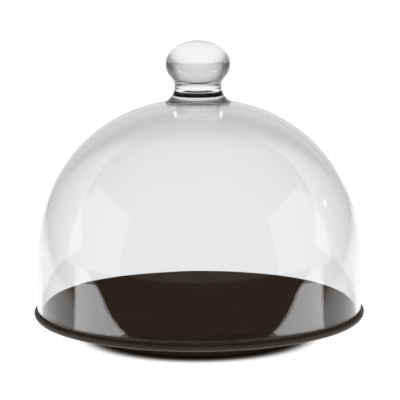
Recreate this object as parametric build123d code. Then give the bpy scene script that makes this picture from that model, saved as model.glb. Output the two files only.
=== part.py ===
from build123d import *
import math
import os

# Covered serving plate: a clear glass bell with a solid glass knob, standing on a footed
# ceramic plate. Everything turns about +Z. The origin is on that axis, in the plane the foot
# ring rests on. Millimetres.

# --- plate ---------------------------------------------------------------------------------
rim_reach = 2.9  # how far the rim stands out past the bell's wall
rim_thickness = 7.1  # seat to underside, out at the rim
rim_shoulder = 2.0  # small round over the rim; the rest of its thickness is one larger round
seat_height = 26.3  # table to the flat seat that the bell stands on
step_height = 6.0  # the raised serving disc stands this far above the seat
step_lean = 3.4  # how far the disc's side leans in from the seat to its top
foot_radius = 95.5  # outside of the foot ring where it meets the table
foot_width = 8.5  # width of the foot ring's wall
foot_spread = 1.5  # how much wider the foot is where it leaves the plate
floor_thickness = 9.0  # plate inside the foot ring
foot_fillet = 9.0  # hollow curve from the underside into the foot
recess_fillet = 4.0  # inside corner under the plate
edge_round = 1.2  # both edges of the foot ring
disc_round = 1.6  # edge of the serving disc
seat_fillet = 1.2  # hollow corner between the seat and the disc's side

# --- bell ----------------------------------------------------------------------------------
dome_radius = 150.0  # outside of the straight wall
dome_height = 193.5  # bottom edge to the crown, as if the knob were not there
wall_height = 39.0  # bottom edge to where the wall starts to curve in
fullness = 2.155  # exponent of the curve above the wall: 2 is an ellipse, more is squarer
glass_thickness = 4.0  # wall, and the full round at its bottom edge
crown_glass = 3.2  # glass left between the knob's pad and the inside of the crown

# --- knob ----------------------------------------------------------------------------------
knob_radius = 29.6  # widest circle
knob_half_height = 21.8  # widest circle to the top
knob_rise = 31.7  # crown, as if the knob were not there, to the knob's widest circle
neck_radius = 21.4  # narrowest circle under the knob
flare_radius = 30.0  # pad where the neck spreads onto the crown
neck_share = 0.416  # where the narrowest circle lies, from the pad to the widest circle
blend_share = 0.53  # how far down the knob's ellipse runs before it turns into the neck

# --- fits ----------------------------------------------------------------------------------
seat_gap = 0.3  # bottom edge of the bell above its seat
step_gap = 1.2  # inside of the bell's wall to the foot of the disc's side, all round

# --- sizes that follow ---------------------------------------------------------------------
serving_height = seat_height + step_height
dome_inner_radius = dome_radius - glass_thickness
step_radius = dome_inner_radius - step_gap
disc_radius = step_radius - step_lean
rim_radius = dome_radius + rim_reach
base_height = seat_height + seat_gap


def curve_height(radius, full_radius, rise):
    """Height above the wall's top at a given radius of the bell's curve."""
    share = min(radius / full_radius, 1.0)
    return rise * (1.0 - share**fullness) ** (1.0 / fullness)


def curve_slope(radius, full_radius, rise):
    """Fall in height per step outwards at a given radius of the bell's curve."""
    height = curve_height(radius, full_radius, rise)
    return -((rise / full_radius) ** fullness) * (radius / height) ** (fullness - 1.0)


pad_height = base_height + wall_height + curve_height(
    flare_radius, dome_radius, dome_height - wall_height
)
inner_crown_height = pad_height - crown_glass


def bell_points(full_radius, rise, end_radius, steps=12):
    """Points on the bell's curve from the wall's top to end_radius, by the curve's own rule."""
    start_height = base_height + wall_height
    end_angle = math.acos((end_radius / full_radius) ** (fullness / 2.0))
    points = []
    for step in range(steps + 1):
        angle = end_angle * step / steps
        radius = full_radius * math.cos(angle) ** (2.0 / fullness)
        height = start_height + rise * math.sin(angle) ** (2.0 / fullness)
        points.append((radius, height))
    return points


def nearest_corner(sketch, radius, height):
    """The sketch's vertex closest to one corner of the half section."""
    return sketch.vertices().sort_by_distance((radius, height, 0))[0]


def turned(half_section):
    """A solid made by turning a half section in X and Z about the axis."""
    return revolve(Plane.XZ * half_section, axis=Axis.Z)


def make_dome_shell():
    """The bell: straight wall, full curve to a flat pad for the knob, full-round edge."""
    outer_rise = dome_height - wall_height
    inner_rise = inner_crown_height - base_height - wall_height
    edge = glass_thickness / 2.0
    wall_top = base_height + wall_height
    outer = bell_points(dome_radius, outer_rise, flare_radius)
    inner = bell_points(dome_inner_radius, inner_rise, 0.0)
    outer[-1] = (flare_radius, pad_height)
    inner[-1] = (0.0, inner_crown_height)
    slope = curve_slope(flare_radius, dome_radius, outer_rise)
    with BuildSketch() as section:
        with BuildLine():
            Line((dome_radius, base_height + edge), (dome_radius, wall_top))
            Spline(*outer, tangents=[(0, 1), (-1, -slope)])
            Line((flare_radius, pad_height), (0, pad_height))
            Line((0, pad_height), (0, inner_crown_height))
            Spline(*inner[::-1], tangents=[(1, 0), (0, -1)])
            Line((dome_inner_radius, wall_top), (dome_inner_radius, base_height + edge))
            ThreePointArc(
                (dome_inner_radius, base_height + edge),
                (dome_radius - edge, base_height),
                (dome_radius, base_height + edge),
            )
        make_face()
    return turned(section.sketch)


def ball_curve(centre, start, end):
    """Four control points of the knob's ellipse between two of its own angles."""
    pull = 4.0 / 3.0 * math.tan((end - start) / 4.0)
    controls = []
    for angle, along in ((start, 0.0), (start, pull), (end, -pull), (end, 0.0)):
        radius = knob_radius * (math.cos(angle) - along * math.sin(angle))
        height = centre + knob_half_height * (math.sin(angle) + along * math.cos(angle))
        controls.append((radius, height))
    if end >= math.pi / 2.0:
        controls[-1] = (0.0, controls[-1][1])
    return controls


def make_dome_knob():
    """The knob: a flattened ball on a short neck that spreads onto the bell's pad."""
    centre = base_height + dome_height + knob_rise
    neck_height = pad_height + neck_share * (centre - pad_height)
    drop = blend_share * knob_half_height
    turn_height = centre - drop
    turn_radius = knob_radius * math.sqrt(1.0 - blend_share**2)
    lean = drop * knob_radius**2 / (turn_radius * knob_half_height**2)
    reach = 0.42 * (turn_height - neck_height)
    spread = flare_radius - neck_radius
    flare_rise = neck_height - pad_height
    turn_angle = math.asin(blend_share)
    with BuildSketch() as section:
        with BuildLine():
            Line((0, pad_height), (flare_radius, pad_height))
            Bezier(
                (flare_radius, pad_height),
                (flare_radius - 0.36 * spread, pad_height + 0.09 * flare_rise),
                (neck_radius, pad_height + 0.446 * flare_rise),
                (neck_radius, neck_height),
            )
            Bezier(
                (neck_radius, neck_height),
                (neck_radius, neck_height + reach),
                (turn_radius - reach * lean, turn_height - reach),
                (turn_radius, turn_height),
            )
            Bezier(*ball_curve(centre, -turn_angle, 0.0))
            Bezier(*ball_curve(centre, 0.0, math.pi / 2.0))
            Line((0, centre + knob_half_height), (0, pad_height))
        make_face()
    return turned(section.sketch)


def quarter_round(centre, radius, start):
    """Middle and end of a quarter circle that runs clockwise from a start angle in degrees."""
    points = []
    for angle in (start - 45.0, start - 90.0):
        turn = math.radians(angle)
        points.append((centre[0] + radius * math.cos(turn), centre[1] + radius * math.sin(turn)))
    return points


def make_plate():
    """The plate: raised serving disc, seat, rounded rim, one foot ring with a recess inside."""
    belly = rim_thickness - rim_shoulder
    shoulder = (rim_radius - rim_shoulder, seat_height)
    widest = seat_height - rim_shoulder
    underside = seat_height - rim_thickness
    ceiling = serving_height - floor_thickness
    foot_inner = foot_radius - foot_width
    foot_top = foot_radius + foot_spread
    upper = quarter_round((shoulder[0], widest), rim_shoulder, 90.0)
    lower = quarter_round((rim_radius - belly, widest), belly, 0.0)
    with BuildSketch() as section:
        with BuildLine():
            Line((0, ceiling), (0, serving_height))
            Line((0, serving_height), (disc_radius, serving_height))
            Line((disc_radius, serving_height), (step_radius, seat_height))
            Line((step_radius, seat_height), shoulder)
            ThreePointArc(shoulder, upper[0], upper[1])
            ThreePointArc(upper[1], lower[0], lower[1])
            Line(lower[1], (foot_top, underside))
            Line((foot_top, underside), (foot_radius, 0))
            Line((foot_radius, 0), (foot_inner, 0))
            Line((foot_inner, 0), (foot_inner, ceiling))
            Line((foot_inner, ceiling), (0, ceiling))
        make_face()
        fillet(nearest_corner(section, foot_top, underside), foot_fillet)
        fillet(nearest_corner(section, foot_inner, ceiling), recess_fillet)
        fillet(nearest_corner(section, foot_radius, 0), edge_round)
        fillet(nearest_corner(section, foot_inner, 0), edge_round)
        fillet(nearest_corner(section, disc_radius, serving_height), disc_round)
        fillet(nearest_corner(section, step_radius, seat_height), seat_fillet)
    return turned(section.sketch)


os.makedirs("parts", exist_ok=True)
pieces = {
    "dome_shell": make_dome_shell(),
    "dome_knob": make_dome_knob(),
    "plate": make_plate(),
}
for name, solid in pieces.items():
    export_step(solid, "parts/" + name + ".step")
    box = solid.bounding_box()
    print(name, round(solid.volume), box.min, box.max)
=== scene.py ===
import logging
import math
from dataclasses import dataclass
from enum import Enum
from typing import Any, ClassVar, Optional

import bmesh
import bpy
from mathutils import Matrix, Vector


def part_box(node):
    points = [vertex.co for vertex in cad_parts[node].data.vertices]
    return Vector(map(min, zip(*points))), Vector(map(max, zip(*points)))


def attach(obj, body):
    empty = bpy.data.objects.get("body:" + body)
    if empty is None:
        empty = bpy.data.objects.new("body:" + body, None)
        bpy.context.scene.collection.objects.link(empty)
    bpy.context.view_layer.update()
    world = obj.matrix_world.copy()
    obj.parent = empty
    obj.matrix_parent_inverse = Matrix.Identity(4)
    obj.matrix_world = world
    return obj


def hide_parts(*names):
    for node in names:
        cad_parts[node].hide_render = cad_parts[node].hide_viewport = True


# A covered serving plate in a white studio: a blown glass bell with a solid glass knob, on a
# footed stoneware plate in a dark brown glaze. Metres, +Z up, everything turned about +Z.

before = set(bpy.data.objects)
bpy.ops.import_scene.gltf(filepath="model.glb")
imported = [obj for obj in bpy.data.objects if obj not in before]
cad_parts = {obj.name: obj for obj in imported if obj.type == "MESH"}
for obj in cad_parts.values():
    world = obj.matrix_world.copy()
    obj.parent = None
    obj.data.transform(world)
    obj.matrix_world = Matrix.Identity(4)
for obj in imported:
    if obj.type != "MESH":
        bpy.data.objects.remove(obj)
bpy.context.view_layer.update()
MM = 0.001
LOG = logging.getLogger("covered_plate")

Point = tuple[float, float]


# --- small helpers -------------------------------------------------------------------------


def linear(hex_code: str) -> tuple[float, float, float, float]:
    """Turns an sRGB hex colour into linear values.

    Args:
        hex_code: The colour as "#RRGGBB".

    Returns:
        Red, green and blue in linear light, and an alpha of 1.
    """
    values = []
    for start in (1, 3, 5):
        share = int(hex_code[start : start + 2], 16) / 255.0
        values.append(share / 12.92 if share <= 0.04045 else ((share + 0.055) / 1.055) ** 2.4)
    return values[0], values[1], values[2], 1.0


def add_node(
    tree: bpy.types.NodeTree,
    kind: str,
    settings: Optional[dict[Any, Any]] = None,
    links: Optional[dict[Any, bpy.types.NodeSocket]] = None,
) -> bpy.types.Node:
    """Adds one node to a tree, sets it and links its inputs.

    Args:
        tree: The node tree that the node goes into.
        kind: Blender's name of the node type.
        settings: Values by the name of a property, or by the name or number of an input.
        links: Output sockets of other nodes, by the name or number of the input they feed.

    Returns:
        The new node.
    """
    node = tree.nodes.new(kind)
    for name, value in (settings or {}).items():
        if isinstance(name, str) and hasattr(node, name):
            setattr(node, name, value)
        else:
            node.inputs[name].default_value = value
    for name, socket in (links or {}).items():
        tree.links.new(socket, node.inputs[name])
    return node


def ellipse(centre: Point, radii: Point, start: float, end: float, steps: int) -> list[Point]:
    """Points on an ellipse.

    Args:
        centre: Radius and height of the ellipse's centre.
        radii: Its half width and half height.
        start: Angle of the first point, in degrees, 0 being straight outwards.
        end: Angle of the last point.
        steps: Number of runs between them.

    Returns:
        The points, both ends among them.
    """
    found = []
    for step in range(steps + 1):
        angle = math.radians(start + (end - start) * step / steps)
        found.append(
            (centre[0] + radii[0] * math.cos(angle), centre[1] + radii[1] * math.sin(angle))
        )
    return found


def bezier(controls: list[Point], steps: int) -> list[Point]:
    """Points on a cubic Bezier curve.

    Args:
        controls: Its four control points.
        steps: Number of runs.

    Returns:
        The points, both ends among them.
    """
    found = []
    for step in range(steps + 1):
        t = step / steps
        weights = ((1 - t) ** 3, 3 * t * (1 - t) ** 2, 3 * t * t * (1 - t), t**3)
        found.append(tuple(sum(w * c[axis] for w, c in zip(weights, controls)) for axis in (0, 1)))
    return found


def beside(corner: Point, towards: Point, reach: float = 0.3 * MM) -> Point:
    """A point close to a corner, which keeps its smooth shading narrow.

    Args:
        corner: The corner.
        towards: The next point of the outline.
        reach: Distance from the corner.

    Returns:
        The point.
    """
    share = reach / math.dist(corner, towards)
    return tuple(a + share * (b - a) for a, b in zip(corner, towards))


def rounded_outline(corners: list[tuple[float, float, float]], steps: int = 8) -> list[Point]:
    """A half section with rounded corners.

    Args:
        corners: Radius, height and fillet radius of each corner, in order.
        steps: Number of runs in each fillet.

    Returns:
        The outline's points, from the first corner to the last.
    """
    found = [corners[0][:2]]
    for before, here, after in zip(corners, corners[1:], corners[2:]):
        corner = Vector(here[:2])
        to_before = (Vector(before[:2]) - corner).normalized()
        to_after = (Vector(after[:2]) - corner).normalized()
        half = to_before.angle(to_after) / 2.0
        reach = here[2] / math.tan(half)
        centre = corner + (to_before + to_after).normalized() * here[2] / math.sin(half)
        first = corner + to_before * reach - centre
        turn = first.angle_signed(corner + to_after * reach - centre)
        for step in range(steps + 1):
            spot = centre + Matrix.Rotation(-turn * step / steps, 2) @ first
            found.append((spot.x, spot.y))
    found.append(corners[-1][:2])
    return found


def even_runs(outline: list[Point], longest: float) -> list[Point]:
    """Divides an outline's long runs.

    Args:
        outline: The points, in order.
        longest: Longest run to leave, in metres.

    Returns:
        The old points with the new ones between them.
    """
    found = [outline[0]]
    for start, end in zip(outline, outline[1:]):
        count = max(1, math.ceil(math.dist(start, end) / longest))
        for step in range(1, count + 1):
            share = step / count
            found.append(tuple(a + (b - a) * share for a, b in zip(start, end)))
    return found


# --- finishes ------------------------------------------------------------------------------


@dataclass(frozen=True)
class Finish:
    """One real surface finish, made as a Blender material."""

    name: str

    def start(self) -> tuple[bpy.types.Material, bpy.types.NodeTree, bpy.types.Node]:
        """Makes an empty material.

        Returns:
            The material, its node tree and its Principled shader.
        """
        material = bpy.data.materials.new(self.name)
        material.use_nodes = True
        tree = material.node_tree
        tree.nodes.clear()
        shader = add_node(tree, "ShaderNodeBsdfPrincipled")
        add_node(tree, "ShaderNodeOutputMaterial", links={"Surface": shader.outputs[0]})
        return material, tree, shader

    def pattern(
        self, tree: bpy.types.NodeTree, size: float, detail: float = 3.0, stretch: Any = (1, 1, 1)
    ) -> bpy.types.NodeSocket:
        """Noise in the piece's own coordinates.

        Args:
            tree: The node tree.
            size: Width of one patch, in metres.
            detail: Octaves of finer noise in it.
            stretch: Scale of the pattern along each axis.

        Returns:
            The noise's factor, about 0.5 on average.
        """
        place = add_node(tree, "ShaderNodeTexCoord")
        turned = add_node(
            tree, "ShaderNodeMapping", {"Scale": stretch}, {"Vector": place.outputs["Object"]}
        )
        noise = add_node(
            tree,
            "ShaderNodeTexNoise",
            {"Scale": 1.0 / size, "Detail": detail},
            {"Vector": turned.outputs[0]},
        )
        return noise.outputs[0]

    def spread(
        self, tree: bpy.types.NodeTree, factor: bpy.types.NodeSocket, low: float, high: float
    ) -> bpy.types.NodeSocket:
        """Maps the useful middle of a noise to a range of values.

        Args:
            tree: The node tree.
            factor: The noise.
            low: Value where the noise is low.
            high: Value where it is high.

        Returns:
            The mapped value.
        """
        mapped = add_node(
            tree,
            "ShaderNodeMapRange",
            {"From Min": 0.3, "From Max": 0.7, "To Min": low, "To Max": high},
            {"Value": factor},
        )
        return mapped.outputs[0]


@dataclass(frozen=True)
class BlownGlass(Finish):
    """Soda-lime glass, blown in a mould and fire polished: it bends what is behind it, mirrors
    the lamps sharply, and keeps back a little light at each face."""

    tint: str = "#FAFAFA"
    ior: float = 1.5

    def material(self) -> bpy.types.Material:
        """Makes the material.

        Returns:
            The finished material.
        """
        material, tree, shader = self.start()
        shader.inputs["Base Color"].default_value = linear(self.tint)
        shader.inputs["IOR"].default_value = self.ior
        shader.inputs["Transmission Weight"].default_value = 1.0
        # Wiped and handled: patches a hand wide where the polish is a touch less sharp.
        wiped = self.spread(tree, self.pattern(tree, 40 * MM, 4.0), 0.0, 0.02)
        tree.links.new(wiped, shader.inputs["Roughness"])
        # The mould's chill leaves a very slow swell, a few hundredths of a millimetre high.
        swell = self.pattern(tree, 24 * MM, 1.0)
        bump = add_node(
            tree, "ShaderNodeBump", {"Strength": 0.15, "Distance": 0.1 * MM}, {"Height": swell}
        )
        tree.links.new(bump.outputs[0], shader.inputs["Normal"])
        return material


@dataclass(frozen=True)
class BrownGlaze(Finish):
    """Iron-brown satin stoneware glaze, sprayed and fired: nearly black, with warmer flecks
    where it broke thin, fine orange peel, and small rubbed marks from use."""

    body: str = "#30271F"
    thin: str = "#3A2E25"
    rough_low: float = 0.3
    rough_high: float = 0.45
    specular: float = 0.15
    peel: float = 0.02 * MM

    def material(self) -> bpy.types.Material:
        """Makes the material.

        Returns:
            The finished material.
        """
        material, tree, shader = self.start()
        # The glaze breaks thin in flecks of about 3 mm, more of them where the spray was light.
        flecks = self.spread(tree, self.pattern(tree, 3 * MM, 5.0), 0.0, 1.0)
        clouds = self.spread(tree, self.pattern(tree, 45 * MM, 2.0), 0.15, 0.85)
        blend = add_node(
            tree, "ShaderNodeMath", {"operation": "MULTIPLY"}, {0: flecks, 1: clouds}
        )
        colour = add_node(
            tree,
            "ShaderNodeMix",
            {"data_type": "RGBA", 6: linear(self.body), 7: linear(self.thin)},
            {0: blend.outputs[0]},
        )
        tree.links.new(colour.outputs[2], shader.inputs["Base Color"])
        # Cutlery and cleaning leave short rubbed streaks, drawn 1 mm wide so that they show.
        rubbed = self.pattern(tree, 6 * MM, 2.0, (1.0, 6.0, 1.0))
        patches = self.pattern(tree, 30 * MM, 3.0)
        both = add_node(tree, "ShaderNodeMath", {"operation": "ADD"}, {0: rubbed, 1: patches})
        half = add_node(
            tree, "ShaderNodeMath", {"operation": "MULTIPLY", 1: 0.5}, {0: both.outputs[0]}
        )
        rough = self.spread(tree, half.outputs[0], self.rough_low, self.rough_high)
        tree.links.new(rough, shader.inputs["Roughness"])
        shader.inputs["Specular IOR Level"].default_value = self.specular
        # Orange peel has waves of about 1 mm; drawn at 1.6 mm so that it shows.
        peel = self.pattern(tree, 1.6 * MM, 2.0)
        bump = add_node(
            tree, "ShaderNodeBump", {"Strength": 0.6, "Distance": self.peel}, {"Height": peel}
        )
        tree.links.new(bump.outputs[0], shader.inputs["Normal"])
        return material


@dataclass(frozen=True)
class RubbedGlazePaintedLight(BrownGlaze):
    """The same glaze on the serving disc, rubbed matt by knives and washing so that it mirrors
    nothing that the eye can tell. Its colour is painted a shade paler than the rim's, which paints
    light onto the disc under the bell."""

    # The paler body and thin colours are painted light: they brighten the disc under the bell.
    body: str = "#504236"
    thin: str = "#5B4C3F"
    rough_low: float = 0.6
    rough_high: float = 0.75
    specular: float = 0.0


@dataclass(frozen=True)
class BareClay(Finish):
    """Unglazed stoneware, wiped clean of glaze and ground flat after firing: dry and gritty,
    darkened a little by use."""

    light: str = "#8B7561"
    dark: str = "#5F4E40"

    def material(self) -> bpy.types.Material:
        """Makes the material.

        Returns:
            The finished material.
        """
        material, tree, shader = self.start()
        # Grit of about 0.5 mm in the clay; drawn at 1 mm so that it shows.
        grit = self.pattern(tree, 1.0 * MM, 4.0)
        colour = add_node(
            tree,
            "ShaderNodeMix",
            {"data_type": "RGBA", 6: linear(self.dark), 7: linear(self.light)},
            {0: self.spread(tree, grit, 0.0, 1.0)},
        )
        tree.links.new(colour.outputs[2], shader.inputs["Base Color"])
        tree.links.new(self.spread(tree, grit, 0.75, 0.95), shader.inputs["Roughness"])
        bump = add_node(
            tree, "ShaderNodeBump", {"Strength": 0.8, "Distance": 0.08 * MM}, {"Height": grit}
        )
        tree.links.new(bump.outputs[0], shader.inputs["Normal"])
        return material


# --- turned shapes -------------------------------------------------------------------------


class Wave(Enum):
    """Width of the slow unevenness of a hand-finished surface, in metres."""

    BLOWN = 60 * MM
    GLAZED = 35 * MM


@dataclass
class Lathe:
    """A Geometry Nodes tree that turns a half section about +Z into one closed skin."""

    segments: int = 288
    seed: int = 7
    weld: float = 0.001 * MM

    # Name, operation and terms of each sum, in order. The grid numbers its points row by row,
    # and a row is one point of the outline at every turn. The half keeps the division clear of
    # whole numbers, where rounding could pick the row before.
    SUMS: ClassVar[tuple[tuple[Any, ...], ...]] = (
        ("columns", "ADD", "Segments", 1),
        ("middle", "ADD", "index", 0.5),
        ("rows passed", "DIVIDE", "middle", "columns"),
        ("row", "FLOOR", "rows passed"),
        ("points passed", "MULTIPLY", "row", "columns"),
        ("column", "SUBTRACT", "index", "points passed"),
        ("turned", "MULTIPLY", "column", math.tau),
        ("angle", "DIVIDE", "turned", "Segments"),
        ("cosine", "COSINE", "angle"),
        ("sine", "SINE", "angle"),
        ("x", "MULTIPLY", "radius", "cosine"),
        ("y", "MULTIPLY", "radius", "sine"),
        ("fineness", "DIVIDE", 1.0, "Wave Width"),
        ("swing", "SUBTRACT", "noise", 0.5),
        ("height", "MULTIPLY", "swing", "Wave Height"),
    )

    def tree(self) -> bpy.types.NodeTree:
        """Builds the tree.

        Returns:
            The tree, with its sizes, seed and material as named inputs.
        """
        tree = bpy.data.node_groups.new("turned_skin", "GeometryNodeTree")
        sockets = tree.interface
        sockets.new_socket("Geometry", in_out="INPUT", socket_type="NodeSocketGeometry")
        for name in ("Outline Points", "Segments", "Seed"):
            sockets.new_socket(name, in_out="INPUT", socket_type="NodeSocketInt")
        for name in ("Wave Height", "Wave Width"):
            sockets.new_socket(name, in_out="INPUT", socket_type="NodeSocketFloat")
        sockets.new_socket("Material", in_out="INPUT", socket_type="NodeSocketMaterial")
        sockets.new_socket("Geometry", in_out="OUTPUT", socket_type="NodeSocketGeometry")
        given = add_node(tree, "NodeGroupInput").outputs
        place = add_node(tree, "GeometryNodeInputPosition").outputs[0]
        spot = add_node(
            tree,
            "GeometryNodeSampleIndex",
            {"data_type": "FLOAT_VECTOR", "domain": "POINT"},
            {"Geometry": given["Geometry"], "Value": place},
        )
        parts = add_node(tree, "ShaderNodeSeparateXYZ", links={0: spot.outputs[0]}).outputs
        noise = add_node(
            tree,
            "ShaderNodeTexNoise",
            {"noise_dimensions": "4D", "Detail": 1.0},
            {"W": given["Seed"]},
        )
        known = {name: given[name] for name in ("Segments", "Wave Height", "Wave Width")}
        known["index"] = add_node(tree, "GeometryNodeInputIndex").outputs[0]
        known["radius"] = parts[0]
        known["noise"] = noise.outputs[0]
        for name, operation, *terms in self.SUMS:
            settings = {"operation": operation}
            settings |= {i: term for i, term in enumerate(terms) if not isinstance(term, str)}
            links = {i: known[term] for i, term in enumerate(terms) if isinstance(term, str)}
            known[name] = add_node(tree, "ShaderNodeMath", settings, links).outputs[0]
        tree.links.new(known["row"], spot.inputs["Index"])
        tree.links.new(known["fineness"], noise.inputs["Scale"])
        grid = add_node(
            tree,
            "GeometryNodeMeshGrid",
            links={"Vertices X": given["Outline Points"], "Vertices Y": known["columns"]},
        )
        turned = add_node(
            tree,
            "ShaderNodeCombineXYZ",
            links={0: known["x"], 1: known["y"], 2: parts[2]},
        )
        skin = add_node(
            tree,
            "GeometryNodeSetPosition",
            links={"Geometry": grid.outputs[0], "Position": turned.outputs[0]},
        )
        closed = add_node(
            tree, "GeometryNodeMergeByDistance", {"Distance": self.weld}, {0: skin.outputs[0]}
        )
        push = add_node(
            tree,
            "ShaderNodeVectorMath",
            {"operation": "SCALE"},
            {
                0: add_node(tree, "GeometryNodeInputNormal").outputs[0],
                "Scale": known["height"],
            },
        )
        waved = add_node(
            tree,
            "GeometryNodeSetPosition",
            links={"Geometry": closed.outputs[0], "Offset": push.outputs[0]},
        )
        smooth = add_node(tree, "GeometryNodeSetShadeSmooth", links={0: waved.outputs[0]})
        real = add_node(tree, "GeometryNodeRealizeInstances", links={0: smooth.outputs[0]})
        dressed = add_node(
            tree,
            "GeometryNodeSetMaterial",
            links={"Geometry": real.outputs[0], "Material": given["Material"]},
        )
        add_node(tree, "NodeGroupOutput", links={0: dressed.outputs[0]})
        return tree

    def turn(
        self,
        name: str,
        outline: list[Point],
        wave: Wave,
        wave_height: float,
        material: bpy.types.Material,
    ) -> bpy.types.Object:
        """Turns an outline into a finished mesh object.

        Args:
            name: Name of the piece.
            outline: Half section from pole to pole, in metres.
            wave: Kind of slow unevenness.
            wave_height: Its full height, in metres.
            material: The material of the whole skin.

        Returns:
            The object, with a plain mesh and no modifier.
        """
        section = bpy.data.meshes.new(name + "_section")
        edges = [(i, i + 1) for i in range(len(outline) - 1)]
        section.from_pydata([(r, 0.0, z) for r, z in outline], edges, [])
        piece = bpy.data.objects.new(name, section)
        bpy.context.scene.collection.objects.link(piece)
        modifier = piece.modifiers.new("turned", "NODES")
        tree = self.tree()
        modifier.node_group = tree
        values = {
            "Outline Points": len(outline),
            "Segments": self.segments,
            "Seed": self.seed,
            "Wave Height": wave_height,
            "Wave Width": wave.value,
            "Material": material,
        }
        for item in tree.interface.items_tree:
            if item.in_out == "INPUT" and item.name in values:
                modifier[item.identifier] = values[item.name]
        piece.update_tag()
        graph = bpy.context.evaluated_depsgraph_get()
        mesh = bpy.data.meshes.new_from_object(piece.evaluated_get(graph), depsgraph=graph)
        mesh.name = name
        piece.modifiers.clear()
        piece.data = mesh
        bpy.data.meshes.remove(section)
        self.face_outwards(mesh)
        # The grid brings an empty first slot with it, so the slots are written again.
        mesh.materials.clear()
        mesh.materials.append(material)
        mesh.polygons.foreach_set("material_index", [0] * len(mesh.polygons))
        return piece

    def face_outwards(self, mesh: bpy.types.Mesh) -> None:
        """Points every face of a closed mesh outwards.

        Args:
            mesh: The mesh to mend.
        """
        work = bmesh.new()
        work.from_mesh(mesh)
        bmesh.ops.recalc_face_normals(work, faces=work.faces)
        if work.calc_volume(signed=True) < 0:
            bmesh.ops.reverse_faces(work, faces=work.faces)
        work.to_mesh(mesh)
        work.free()


# --- the bell ------------------------------------------------------------------------------


@dataclass
class GlassBell:
    """The glass bell and its knob, which are one piece of glass on the real object."""

    finish: BlownGlass
    glass: float = 4.0 * MM
    wall_rise: float = 39.0 * MM
    crown_rise: float = 154.5 * MM
    hollow_rise: float = 149.03 * MM
    fullness: float = 2.155
    knob_radius: float = 29.6 * MM
    knob_half: float = 21.8 * MM
    knob_turn: float = 32.0
    neck_radius: float = 21.4 * MM
    neck_share: float = 0.416
    neck_pull: float = 0.42
    flare_pull: float = 0.446
    flare_reach: float = 0.36
    flare_lift: float = 0.09
    knob_steps: int = 40
    neck_steps: int = 14
    flare_steps: int = 16
    edge_steps: int = 12
    longest_run: float = 6.0 * MM
    wave_height: float = 0.12 * MM

    def __post_init__(self) -> None:
        """Takes the bell's place from the frame."""
        shell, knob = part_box("dome_shell"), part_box("dome_knob")
        self.base: float = shell[0].z
        self.radius: float = shell[1].x
        self.pad: float = knob[0].z
        self.flare_radius: float = knob[1].x
        self.knob_centre: float = knob[1].z - self.knob_half

    def curve(self, radius: float, rise: float, end: float, steps: int = 72) -> list[Point]:
        """The bell's curve from the wall's top inwards.

        Args:
            radius: Radius at the wall.
            rise: Height of the full curve.
            end: Radius at which it stops.
            steps: Number of runs.

        Returns:
            The points, from the wall to the crown.
        """
        start = self.base + self.wall_rise
        last = math.acos((end / radius) ** (self.fullness / 2.0))
        found = []
        for step in range(steps + 1):
            angle = last * step / steps
            across = radius * math.cos(angle) ** (2.0 / self.fullness)
            height = rise * math.sin(angle) ** (2.0 / self.fullness)
            found.append((across if end or step < steps else 0.0, start + height))
        return found

    def knob_outline(self) -> list[Point]:
        """Draws the knob from its top down to the pad, by an ellipse and two blends.

        Returns:
            Its outline.
        """
        low = math.radians(self.knob_turn)
        radii = (self.knob_radius, self.knob_half)
        ball = ellipse((0.0, self.knob_centre), radii, 90, -self.knob_turn, self.knob_steps)
        turn = ball[-1]
        lean = math.sin(low) * self.knob_radius / (math.cos(low) * self.knob_half)
        neck = (self.neck_radius, self.pad + self.neck_share * (self.knob_centre - self.pad))
        reach = self.neck_pull * (turn[1] - neck[1])
        drop = neck[1] - self.pad
        spread = self.flare_radius - self.neck_radius
        upper = [turn, (turn[0] - reach * lean, turn[1] - reach), (neck[0], neck[1] + reach), neck]
        lower = [
            neck,
            (neck[0], self.pad + self.flare_pull * drop),
            (self.flare_radius - self.flare_reach * spread, self.pad + self.flare_lift * drop),
            (self.flare_radius, self.pad),
        ]
        ball[0] = (0.0, ball[0][1])
        return ball + bezier(upper, self.neck_steps)[1:] + bezier(lower, self.flare_steps)[1:]

    def outline(self) -> list[Point]:
        """Draws the half section, from the knob's top over the bottom edge to the hollow's top.

        Returns:
            The closed skin's outline, pole to pole.
        """
        inner = self.radius - self.glass
        edge = self.glass / 2.0
        outside = self.curve(self.radius, self.crown_rise, self.flare_radius)[::-1]
        hollow = self.curve(inner, self.hollow_rise, 0.0)
        middle = (self.radius - edge, self.base + edge)
        rim = ellipse(middle, (edge, edge), 0, -180, self.edge_steps)
        crown = [beside(outside[0], outside[1])] + outside[1:]
        wall = [beside(rim[0], outside[-1])] + rim + [beside(rim[-1], hollow[0])]
        return even_runs(self.knob_outline() + crown + wall + hollow, self.longest_run)

    def build(self) -> bpy.types.Object:
        """Makes, dresses and places the bell.

        Returns:
            The piece, riding on the dome.
        """
        piece = Lathe().turn(
            "glass_bell", self.outline(), Wave.BLOWN, self.wave_height, self.finish.material()
        )
        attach(piece, "dome")
        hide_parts("dome_shell", "dome_knob")
        # Clear glass lets nearly all of the lamp's light through to the plate.
        piece.visible_shadow = False
        return piece


# --- the plate -----------------------------------------------------------------------------


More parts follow.
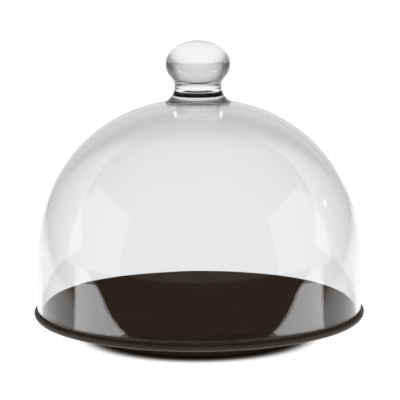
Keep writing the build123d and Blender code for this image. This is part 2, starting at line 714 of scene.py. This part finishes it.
@dataclass
class ServingPlate:
    """The footed plate: raised serving disc, seat for the bell, rounded rim, one foot ring."""

    rim_glaze: BrownGlaze
    disc_glaze: BrownGlaze
    clay: BareClay
    seat: float = 26.3 * MM
    disc_radius: float = 141.4 * MM
    step_radius: float = 144.8 * MM
    rim_thickness: float = 7.1 * MM
    shoulder: float = 2.0 * MM
    foot_radius: float = 95.5 * MM
    foot_top: float = 97.0 * MM
    foot_inner: float = 87.0 * MM
    floor_thickness: float = 9.0 * MM
    foot_fillet: float = 9.0 * MM
    disc_round: float = 1.6 * MM
    seat_fillet: float = 1.2 * MM
    edge_round: float = 1.2 * MM
    recess_fillet: float = 4.0 * MM
    longest_run: float = 1.2 * MM
    ring_pitch: float = 5.0 * MM
    ring_height: float = 0.05 * MM
    fading_rings: float = 3.0
    wave_height: float = 0.15 * MM
    disc_glaze_rise: float = 1.0 * MM
    bare_rise: float = 0.35 * MM

    def __post_init__(self) -> None:
        """Takes the plate's place from the frame."""
        low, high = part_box("plate")
        self.foot: float = low.z
        self.top: float = high.z
        self.rim_radius: float = high.x

    def outline(self) -> list[Point]:
        """Draws the half section, from the middle of the disc to the middle of the recess.

        Returns:
            The closed skin's outline, pole to pole.
        """
        under = self.seat - self.rim_thickness
        belly = self.rim_thickness - self.shoulder
        ceiling = self.top - self.floor_thickness
        corners = [
            (0.0, self.top, 0.0),
            (self.disc_radius, self.top, self.disc_round),
            (self.step_radius, self.seat, self.seat_fillet),
            (self.rim_radius, self.seat, self.shoulder),
            (self.rim_radius, under, belly),
            (self.foot_top, under, self.foot_fillet),
            (self.foot_radius, self.foot, self.edge_round),
            (self.foot_inner, self.foot, self.edge_round),
            (self.foot_inner, ceiling, self.recess_fillet),
            (0.0, ceiling, 0.0),
        ]
        runs = even_runs(rounded_outline(corners), self.longest_run)
        return [self.ringed(spot) for spot in runs]

    def ringed(self, spot: Point) -> Point:
        """Adds the low rings that turning left on the disc's top.

        Args:
            spot: A point of the outline.

        Returns:
            The point, moved down where a ring is hollow.
        """
        radius, height = spot
        if height < self.top - 0.001 * MM or radius < self.ring_pitch:
            return spot
        share = 0.5 - 0.5 * math.cos(math.tau * radius / self.ring_pitch)
        fade = min(1.0, (self.disc_radius - radius) / (self.fading_rings * self.ring_pitch))
        return radius, height - self.ring_height * share * max(0.0, fade)

    def build(self) -> bpy.types.Object:
        """Makes, dresses and places the plate.

        Returns:
            The piece, riding on the plate's body.
        """
        piece = Lathe(segments=256, seed=3).turn(
            "serving_plate",
            self.outline(),
            Wave.GLAZED,
            self.wave_height,
            self.rim_glaze.material(),
        )
        piece.data.materials.append(self.disc_glaze.material())
        piece.data.materials.append(self.clay.material())
        for face in piece.data.polygons:
            if face.center.z > self.seat + self.disc_glaze_rise:
                face.material_index = 1
            elif face.center.z < self.foot + self.bare_rise:
                face.material_index = 2
        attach(piece, "plate")
        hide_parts("plate")
        return piece


# --- the studio ----------------------------------------------------------------------------


class Seen(Enum):
    """Which rays meet a studio surface."""

    BY_CAMERA = "camera and diffuse"
    IN_GLASS = "gloss and refraction"
    MIRRORED = "only what was mirrored on its way"


@dataclass(frozen=True)
class Card:
    """A flat studio surface that gives an even light, given by its corners.

    A card with a clear radius carries a painted shadow: its glow is dark under the object and
    reaches full strength at that radius. One with a side glow is a table with painted light on it:
    brightest in a strip straight behind the object, dimmer beside the strip and far back, and
    darker still at its sides in what the glass mirrors.
    """

    name: str
    corners: tuple[tuple[float, float, float], ...]
    glow: float
    seen: Seen = Seen.MIRRORED
    paint: float = 0.0
    dark_radius: float = 0.0
    clear_radius: float = 0.0
    side_glow: float = 0.0
    strip_start: float = 1.6
    strip_edges: Point = (0.1, 0.6)
    table_start: float = 0.5
    table_edges: Point = (0.7, 1.0)
    table_loss: float = 0.85
    far_edges: Point = (2.5, 7.0)
    far_share: float = 0.78

    def fade(
        self, tree: bpy.types.NodeTree, start: float, edges: Point, values: Point
    ) -> bpy.types.NodeSocket:
        """A value that changes across a strip that widens to the back.

        Args:
            tree: The card's node tree.
            start: How far in front of the object the strip would come to a point.
            edges: Half width over distance from that point, where the change starts and ends.
            values: The value in the strip and beside it.

        Returns:
            The value.
        """
        place = add_node(tree, "ShaderNodeTexCoord")
        parts = add_node(tree, "ShaderNodeSeparateXYZ", links={0: place.outputs["Object"]})
        across = add_node(
            tree, "ShaderNodeMath", {"operation": "ABSOLUTE"}, {0: parts.outputs[0]}
        )
        back = add_node(
            tree, "ShaderNodeMath", {"operation": "ADD", 1: start}, {0: parts.outputs[1]}
        )
        share = add_node(
            tree,
            "ShaderNodeMath",
            {"operation": "DIVIDE"},
            {0: across.outputs[0], 1: back.outputs[0]},
        )
        step = {
            "interpolation_type": "SMOOTHSTEP",
            "From Min": edges[0],
            "From Max": edges[1],
            "To Min": values[0],
            "To Max": values[1],
        }
        return add_node(tree, "ShaderNodeMapRange", step, {"Value": share.outputs[0]}).outputs[0]

    def wedge(self, tree: bpy.types.NodeTree) -> bpy.types.NodeSocket:
        """Painted light of a table that is brightest straight behind the object.

        Args:
            tree: The card's node tree.

        Returns:
            The strength.
        """
        brightness = (self.glow, self.side_glow)
        strip = self.fade(tree, self.strip_start, self.strip_edges, brightness)
        sides = self.fade(tree, self.table_start, self.table_edges, (0.0, self.table_loss))
        path = add_node(tree, "ShaderNodeLightPath")
        hidden = add_node(
            tree,
            "ShaderNodeMath",
            {"operation": "MULTIPLY", "use_clamp": True},
            {0: path.outputs["Glossy Depth"], 1: sides},
        )
        table = add_node(
            tree, "ShaderNodeMath", {"operation": "SUBTRACT", 0: 1.0}, {1: hidden.outputs[0]}
        ).outputs[0]
        both = add_node(tree, "ShaderNodeMath", {"operation": "MULTIPLY"}, {0: strip, 1: table})
        place = add_node(tree, "ShaderNodeTexCoord")
        parts = add_node(tree, "ShaderNodeSeparateXYZ", links={0: place.outputs["Object"]})
        near, back = self.far_edges
        dimming = {"From Min": near, "From Max": back, "To Min": 1.0, "To Max": self.far_share}
        far = add_node(tree, "ShaderNodeMapRange", dimming, {"Value": parts.outputs[1]})
        whole = add_node(
            tree,
            "ShaderNodeMath",
            {"operation": "MULTIPLY"},
            {0: both.outputs[0], 1: far.outputs[0]},
        )
        return whole.outputs[0]

    def light(self, tree: bpy.types.NodeTree) -> bpy.types.Node:
        """Makes the emission, with a painted shadow: dark near the axis where the card runs under
        the object.

        Args:
            tree: The card's node tree.

        Returns:
            The emission shader.
        """
        light = add_node(tree, "ShaderNodeEmission", {"Strength": self.glow})
        if self.clear_radius:
            place = add_node(tree, "ShaderNodeTexCoord")
            reach = add_node(
                tree,
                "ShaderNodeVectorMath",
                {"operation": "LENGTH"},
                {0: place.outputs["Object"]},
            )
            fade = add_node(
                tree,
                "ShaderNodeMapRange",
                {
                    "interpolation_type": "SMOOTHERSTEP",
                    "From Min": self.dark_radius,
                    "From Max": self.clear_radius,
                    "To Max": self.glow,
                },
                {"Value": reach.outputs["Value"]},
            )
            if self.side_glow:
                tree.links.new(self.wedge(tree), fade.inputs["To Max"])
            tree.links.new(fade.outputs[0], light.inputs["Strength"])
        return light

    def mirrored_only(self, tree: bpy.types.NodeTree, shader: bpy.types.Node) -> bpy.types.Node:
        """Clears the card away where the eye looks straight through the glass.

        Args:
            tree: The card's node tree.
            shader: The card's own shader.

        Returns:
            The shader for light that met a mirroring face, and a clear one for the rest.
        """
        path = add_node(tree, "ShaderNodeLightPath")
        clear = add_node(tree, "ShaderNodeBsdfTransparent")
        seen = add_node(
            tree,
            "ShaderNodeMath",
            {"operation": "GREATER_THAN", 1: 0.5},
            {0: path.outputs["Glossy Depth"]},
        )
        return add_node(
            tree,
            "ShaderNodeMixShader",
            links={0: seen.outputs[0], 1: clear.outputs[0], 2: shader.outputs[0]},
        )

    def build(self) -> bpy.types.Object:
        """Makes the card.

        Returns:
            The card, as a part of the stage.
        """
        mesh = bpy.data.meshes.new(self.name)
        mesh.from_pydata(self.corners, [], [tuple(range(len(self.corners)))])
        card = bpy.data.objects.new(self.name, mesh)
        bpy.context.scene.collection.objects.link(card)
        material = bpy.data.materials.new(self.name)
        material.use_nodes = True
        tree = material.node_tree
        tree.nodes.clear()
        matt = add_node(tree, "ShaderNodeBsdfDiffuse", {"Color": (self.paint,) * 3 + (1,)})
        both = add_node(
            tree, "ShaderNodeAddShader", links={0: matt.outputs[0], 1: self.light(tree).outputs[0]}
        )
        if self.seen is Seen.MIRRORED:
            both = self.mirrored_only(tree, both)
        add_node(tree, "ShaderNodeOutputMaterial", links={"Surface": both.outputs[0]})
        mesh.materials.append(material)
        in_glass = self.seen is not Seen.BY_CAMERA
        card.visible_camera = card.visible_diffuse = not in_glass
        card.visible_glossy = card.visible_transmission = in_glass
        card.visible_shadow = False
        return card


@dataclass
class Studio:
    """White table, dim room, dark front, and a bright card low and high on either side."""

    room: tuple[Point, ...] = ((0.0, 0.12), (0.6, 0.1), (0.78, 0.2), (0.86, 0.5), (1.0, 0.8))
    table: float = 1.0
    table_in_glass: float = 1.02
    table_beside: float = 0.4
    table_paint: float = 0.9
    reach: float = 14.0
    # Radii of the painted contact shadow on both table sheets: dark inside the first, full glow
    # from the second.
    shadow_radius: float = 96.0 * MM
    clear_radius: float = 118.0 * MM
    front: float = -0.215
    lift: float = 1.0 * MM
    # Half the width of the dark front floor, and the Y where it starts.
    dark_floor: Point = (3.0, -4.0)
    dark_floor_glow: float = 0.02
    dark_wall_ends: tuple[Point, Point] = ((-1.6, -1.0), (1.6, -1.0))
    dark_wall_top: float = 2.2
    dark_wall_glow: float = 0.2
    # Name, nearest and furthest X, and glow of the bright strips of table on either side.
    bright_floors: tuple[tuple[str, float, float, float], ...] = (
        ("near", 0.17, 0.5, 3.5),
        ("far", 0.5, 1.2, 1.3),
    )
    # Their back edge runs a little further back the further out it is.
    back_edge: float = -0.105
    back_edge_slope: float = 0.087
    softbox_reach: float = 1.2
    softbox_run: Point = (-0.9, 0.2)
    softbox_top: float = 0.9
    softbox_glow: float = 0.8
    lamp_ends: tuple[Point, Point] = ((1.12, 0.40), (1.14, 0.43))
    lamp_heights: Point = (0.44, 0.48)
    lamp_glow: float = 16.0
    key_power: float = 18.0
    key_size: float = 2.4
    key_place: tuple[float, float, float] = (0.0, 0.3, 1.8)
    bounces: int = 24
    glass_bounces: int = 20
    mirror_bounces: int = 8
    matt_bounces: int = 4

    def world(self) -> None:
        """Lights the room: white behind the table, dim at the sides and towards the front."""
        world = bpy.data.worlds.new("dim_room")
        bpy.context.scene.world = world
        world.use_nodes = True
        tree = world.node_tree
        tree.nodes.clear()
        place = add_node(tree, "ShaderNodeTexCoord")
        parts = add_node(tree, "ShaderNodeSeparateXYZ", links={0: place.outputs["Generated"]})
        ramp = add_node(tree, "ShaderNodeValToRGB", links={0: parts.outputs[1]})
        ramp.color_ramp.interpolation = "B_SPLINE"
        points = ramp.color_ramp.elements
        while len(points) < len(self.room):
            points.new(0.5)
        for point, (share, value) in zip(points, self.room):
            point.position = share
            point.color = (value, value, value, 1.0)
        light = add_node(tree, "ShaderNodeBackground", links={0: ramp.outputs[0]})
        add_node(tree, "ShaderNodeOutputWorld", links={"Surface": light.outputs[0]})

    def sheet(self, name: str, low: Point, high: Point, height: float, **how: Any) -> None:
        """Lays a card flat.

        Args:
            name: Name of the card.
            low: Least X and Y.
            high: Greatest X and Y.
            height: Height of the card.
            how: The card's other fields.
        """
        corners = (
            (low[0], low[1], height),
            (high[0], low[1], height),
            (high[0], high[1], height),
            (low[0], high[1], height),
        )
        Card(name, corners, **how).build()

    def upright(self, name: str, ends: tuple[Point, Point], heights: Point, glow: float) -> None:
        """Stands a card up.

        Args:
            name: Name of the card.
            ends: X and Y of its two ends.
            heights: Height of its lower and its upper edge.
            glow: Its light.
        """
        (start, end), (low, high) = ends, heights
        Card(name, ((*start, low), (*end, low), (*end, high), (*start, high)), glow).build()

    def floor(self) -> None:
        """Lays the pale table: one sheet for the eye, and one for what the glass shows, both with
        a painted shadow under the plate.
        """
        far = self.reach
        self.sheet(
            "pale_floor",
            (-far, -far),
            (far, far),
            0.0,
            glow=self.table,
            seen=Seen.BY_CAMERA,
            paint=self.table_paint,
            dark_radius=self.shadow_radius,
            clear_radius=self.clear_radius,
        )
        self.sheet(
            "floor_in_glass",
            (-far, -far),
            (far, far),
            -0.5 * MM,
            glow=self.table_in_glass,
            seen=Seen.IN_GLASS,
            side_glow=self.table_beside,
            dark_radius=self.shadow_radius,
            clear_radius=self.clear_radius,
        )

    def cards(self) -> None:
        """Places what the glass mirrors."""
        across, nearest = self.dark_floor
        self.sheet(
            "dark_front_floor",
            (-across, nearest),
            (across, self.front),
            self.lift,
            glow=self.dark_floor_glow,
        )
        heights = (0.0, self.dark_wall_top)
        self.upright("dark_front_wall", self.dark_wall_ends, heights, self.dark_wall_glow)
        for side, name in ((-1, "left"), (1, "right")):
            for part, near, far, glow in self.bright_floors:
                corners = (
                    (side * near, self.front, self.lift),
                    (side * near, self.back_edge_slope * near + self.back_edge, self.lift),
                    (side * far, self.back_edge_slope * far + self.back_edge, self.lift),
                    (side * far, self.front, self.lift),
                )
                Card(f"{part}_{name}_floor", corners, glow).build()
            near_end, far_end = ((side * self.softbox_reach, y) for y in self.softbox_run)
            heights = (0.0, self.softbox_top)
            self.upright(f"softbox_{name}", (near_end, far_end), heights, self.softbox_glow)
        self.upright("small_lamp", self.lamp_ends, self.lamp_heights, self.lamp_glow)

    def key(self) -> None:
        """Hangs the large soft lamp over the table. Its own mirror image is flagged off."""
        data = bpy.data.lights.new("soft_key", "AREA")
        data.shape = "SQUARE"
        data.size = self.key_size
        data.energy = self.key_power
        lamp = bpy.data.objects.new("soft_key", data)
        bpy.context.scene.collection.objects.link(lamp)
        lamp.location = self.key_place
        lamp.visible_camera = False
        lamp.visible_glossy = False
        lamp.visible_transmission = False

    def build(self) -> None:
        """Sets the whole studio up."""
        self.world()
        self.floor()
        self.cards()
        self.key()
        scene = bpy.context.scene
        scene.view_settings.view_transform = "Standard"
        scene.view_settings.look = "None"
        scene.cycles.max_bounces = self.bounces
        scene.cycles.transmission_bounces = self.glass_bounces
        scene.cycles.glossy_bounces = self.mirror_bounces
        scene.cycles.diffuse_bounces = self.matt_bounces


@dataclass
class Camera:
    """The camera, a long lens a little above the object."""

    place: tuple[float, float, float] = (0.0013, -1.6, 0.3747)
    pitch: float = 8.82
    roll: float = -0.3
    lens: float = 158.0
    sensor: float = 36.0
    clip_end: float = 60.0

    def build(self) -> bpy.types.Object:
        """Makes the scene's camera.

        Returns:
            The camera.
        """
        data = bpy.data.cameras.new("studio_camera")
        data.lens = self.lens
        data.sensor_width = self.sensor
        data.clip_end = self.clip_end
        camera = bpy.data.objects.new("studio_camera", data)
        bpy.context.scene.collection.objects.link(camera)
        down = Matrix.Rotation(math.radians(90.0 - self.pitch), 4, "X")
        rolled = Matrix.Rotation(math.radians(self.roll), 4, "Z")
        camera.matrix_world = Matrix.Translation(self.place) @ down @ rolled
        bpy.context.scene.camera = camera
        return camera


def main() -> None:
    """Builds the studio, the plate and the bell, and reports each piece."""
    logging.basicConfig(level=logging.INFO, format="%(name)s: %(message)s")
    Camera().build()
    Studio().build()
    plate = ServingPlate(
        BrownGlaze("satin_brown_glaze"),
        RubbedGlazePaintedLight("matt_brown_glaze"),
        BareClay("bare_stoneware"),
    ).build()
    bell = GlassBell(BlownGlass("blown_soda_lime_glass")).build()
    for piece in (plate, bell):
        LOG.info("%s: %d faces", piece.name, len(piece.data.polygons))


if __name__ == "__main__":
    main()
